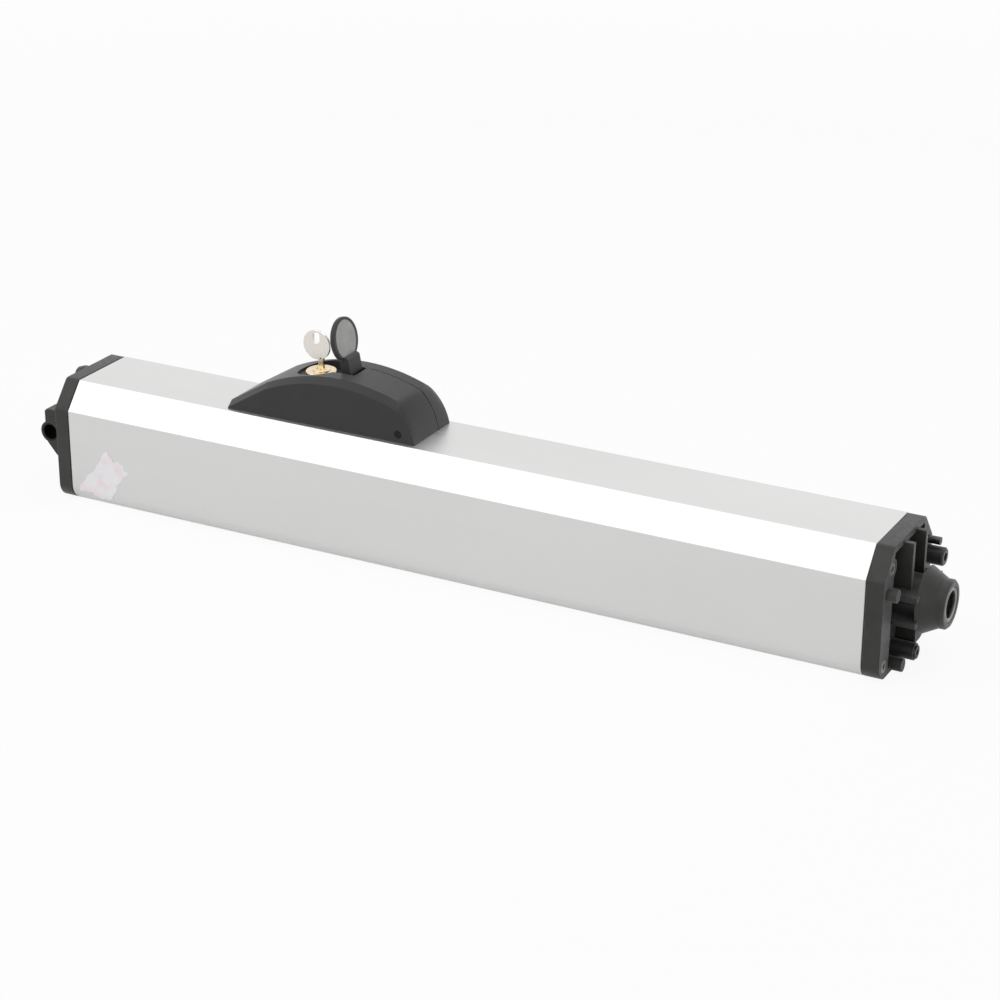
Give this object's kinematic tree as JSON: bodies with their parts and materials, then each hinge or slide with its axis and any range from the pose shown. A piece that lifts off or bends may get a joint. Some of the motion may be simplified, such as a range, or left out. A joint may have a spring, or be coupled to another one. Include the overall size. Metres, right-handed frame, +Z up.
{
  "type": "hydraulic swing gate opener",
  "caption": "Linear hydraulic ram for a swing gate: pale extruded body, black cast flanges, rear pivot ears, rod hub and a release cover with lock, key and lid on top.",
  "frame": {"origin": "the rear pivot axis, on the body's mid-plane", "axes": "+X along the body towards the rod end, +Y along the rear pivot axis, +Z up through the release cover"},
  "size_m": [0.7784, 0.1, 0.1838],
  "materials": {
    "anodised_aluminium": "satin natural anodised extrusion",
    "black_casting": "black powder-coated aluminium casting",
    "black_rubber": "moulded black rubber",
    "zinc_steel": "zinc-plated steel",
    "turned_steel": "turned and ground steel",
    "dark_steel": "oiled dark steel",
    "chromed_rod": "hard chromed, ground",
    "bronze": "sintered bronze",
    "brass": "turned brass",
    "raw_aluminium": "machined die casting",
    "copper_wire": "varnished copper winding",
    "black_plastic": "fine matt moulded texture",
    "black_nylon": "moulded nylon",
    "lock_brass": "worn polished brass",
    "key_nickel": "nickel-plated brass",
    "lid_plastic": "fine matt moulded plastic",
    "inlay_grey": "grey satin disc, bare"
  },
  "bodies": {
    "body": {"oil_tank_profile": "anodised_aluminium", "front_flange": "black_casting", "rear_flange": "black_casting", "flange_gaskets": "black_rubber", "flange_screws": "zinc_steel", "pivot_bushes": "turned_steel", "cable_gland_body": "black_nylon", "cable_gland_nut": "black_nylon", "cable_gland_seal": "black_rubber", "filler_plug": "black_nylon", "vent_screw": "dark_steel", "drain_plug": "dark_steel", "cylinder_tube": "turned_steel", "o_rings": "black_rubber", "tie_rods": "zinc_steel", "tie_rod_nuts": "zinc_steel", "front_chamber_pipe": "turned_steel", "rod_guide_bush": "bronze", "rod_seal": "black_rubber", "rod_wiper": "black_rubber", "rod_retaining_ring": "dark_steel", "valve_block": "raw_aluminium", "valve_balls": "turned_steel", "valve_springs": "dark_steel", "check_valve_plugs": "zinc_steel", "suction_strainer": "dark_steel", "pump_body": "raw_aluminium", "pump_cover": "raw_aluminium", "pump_bolts": "zinc_steel", "motor_front_shield": "raw_aluminium", "motor_rear_shield": "raw_aluminium", "motor_bolts": "zinc_steel", "stator_core": "dark_steel", "stator_windings": "copper_wire", "bearing_outer_rings": "turned_steel", "bearing_balls": "turned_steel", "cover_plate": "black_plastic", "cover_screws": "dark_steel", "release_cover": "black_plastic", "lock_housing": "lock_brass", "lock_nut": "zinc_steel", "lid_hinge_pin": "dark_steel"},
    "rod": {"piston_rod": "chromed_rod", "piston": "turned_steel", "piston_seals": "black_rubber", "piston_nut": "zinc_steel"},
    "rotor": {"rotor_core": "dark_steel", "motor_shaft": "turned_steel", "bearing_inner_rings": "turned_steel", "shaft_coupling": "zinc_steel", "pump_drive_gear": "dark_steel"},
    "idler": {"pump_driven_gear": "dark_steel"},
    "lock_core": {"lock_plug": "lock_brass", "key": "key_nickel", "release_spindle": "turned_steel"},
    "needle": {"release_needle": "turned_steel"},
    "lid": {"lock_lid": "lid_plastic", "lid_inlay": "inlay_grey"},
    "bypass_opening": {"bypass_screw_opening": "brass"},
    "bypass_closing": {"bypass_screw_closing": "brass"}
  },
  "joints": [
    {"name": "rod_slide", "type": "slide", "parent": "body", "child": "rod", "axis": [1, 0, 0], "range_m": [0, 0.39]},
    {"name": "rotor_spin", "type": "hinge", "parent": "body", "child": "rotor", "pos_m": [0.16, 0, 0], "axis": [1, 0, 0], "continuous": true},
    {"name": "idler_spin", "type": "hinge", "parent": "body", "child": "idler", "pos_m": [0.19, 0, -0.018], "axis": [1, 0, 0], "continuous": true},
    {"name": "key_turn", "type": "hinge", "parent": "body", "child": "lock_core", "pos_m": [0.244, 0, 0.0865], "axis": [0, 0, 1], "range_deg": [0, 90]},
    {"name": "needle_lift", "type": "slide", "parent": "body", "child": "needle", "axis": [0, 0, 1], "range_m": [0, 0.002]},
    {"name": "lid_swing", "type": "hinge", "parent": "body", "child": "lid", "pos_m": [0.2706, 0, 0.0889], "axis": [0, 1, 0], "range_deg": [-15, 35]},
    {"name": "bypass_opening_turn", "type": "hinge", "parent": "body", "child": "bypass_opening", "pos_m": [0.218, 0, 0.045], "axis": [0, 0, 1], "range_deg": [-180, 180]},
    {"name": "bypass_closing_turn", "type": "hinge", "parent": "body", "child": "bypass_closing", "pos_m": [0.27, 0, 0.045], "axis": [0, 0, 1], "range_deg": [-180, 180]}
  ],
  "couplings": [
    {"joint": "idler_spin", "follows": "rotor_spin", "ratio": -1},
    {"joint": "needle_lift", "follows": "key_turn", "m_per_rad": 0.00127}
  ]
}
